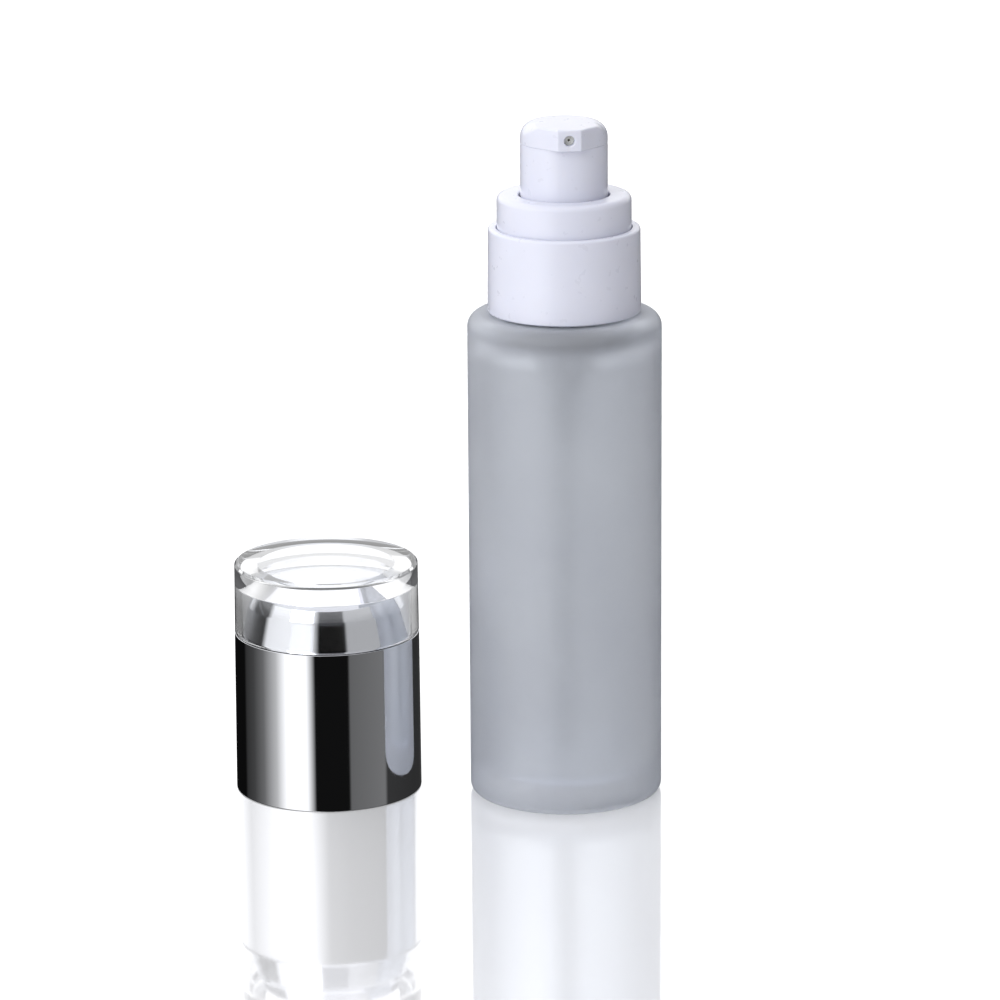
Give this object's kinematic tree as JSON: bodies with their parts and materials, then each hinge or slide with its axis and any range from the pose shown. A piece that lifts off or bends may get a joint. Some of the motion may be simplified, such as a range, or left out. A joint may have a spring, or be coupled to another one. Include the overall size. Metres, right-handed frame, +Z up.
{
  "type": "foundation bottle",
  "caption": "Frosted cylindrical glass bottle with a stepped white treatment pump, and its round cap with a mirror sleeve and clear crown standing beside it.",
  "frame": {"origin": "centre of the bottle's base, on the surface it stands on", "axes": "+Z up along the bottle's axis, the nozzle points towards -Y, and the cap stands on the -X side"},
  "size_m": [0.0688, 0.0371, 0.1103],
  "materials": {
    "frosted_glass": "matte",
    "white_plastic": "satin",
    "insert_plastic": "matte",
    "natural_plastic": "satin",
    "foam": "matte",
    "steel": "satin",
    "mirror_metal": "polished",
    "clear_plastic": "polished",
    "liner_plastic": "satin"
  },
  "bodies": {
    "bottle": {"bottle": "frosted_glass"},
    "pump_core": {"gasket": "foam", "housing": "natural_plastic", "stem_guide": "natural_plastic", "dip_tube": "natural_plastic", "spring": "steel"},
    "closure": {"inner_ring": "white_plastic", "collar": "white_plastic", "shroud": "white_plastic"},
    "stem_unit": {"stem": "natural_plastic", "valve_pin": "natural_plastic"},
    "piston": {"piston": "natural_plastic"},
    "actuator": {"actuator": "white_plastic", "nozzle_insert": "insert_plastic"},
    "ball": {"inlet_ball": "steel"},
    "cap": {"cap_sleeve": "mirror_metal", "cap_crown": "clear_plastic", "cap_liner": "liner_plastic"}
  },
  "joints": [
    {"name": "pump_rise", "type": "slide", "parent": "bottle", "child": "pump_core", "axis": [0, 0, 1], "range_m": [0, 0.00397]},
    {"name": "closure_turn", "type": "hinge", "parent": "pump_core", "child": "closure", "pos_m": [0, 0, 0.0922], "axis": [0, 0, 1], "range_deg": [0, 450]},
    {"name": "actuator_press", "type": "slide", "parent": "pump_core", "child": "stem_unit", "axis": [0, 0, -1], "range_m": [0, 0.005], "stiffness_N_per_m": 1200, "springref_m": -0.004, "deforming": ["spring"]},
    {"name": "actuator_spin", "type": "hinge", "parent": "stem_unit", "child": "actuator", "pos_m": [0, 0, 0.1045], "axis": [0, 0, 1], "continuous": true},
    {"name": "piston_slip", "type": "slide", "parent": "stem_unit", "child": "piston", "axis": [0, 0, 1], "range_m": [0, 0.0006]},
    {"name": "ball_lift", "type": "slide", "parent": "pump_core", "child": "ball", "axis": [0, 0, 1], "range_m": [0, 0.0018]},
    {"name": "cap_lift", "type": "slide", "parent": "bottle", "child": "cap", "axis": [0, 0, 1], "range_m": [0, 0.115]}
  ],
  "couplings": [
    {"joint": "pump_rise", "follows": "closure_turn", "m_per_rad": 0.00050532}
  ]
}
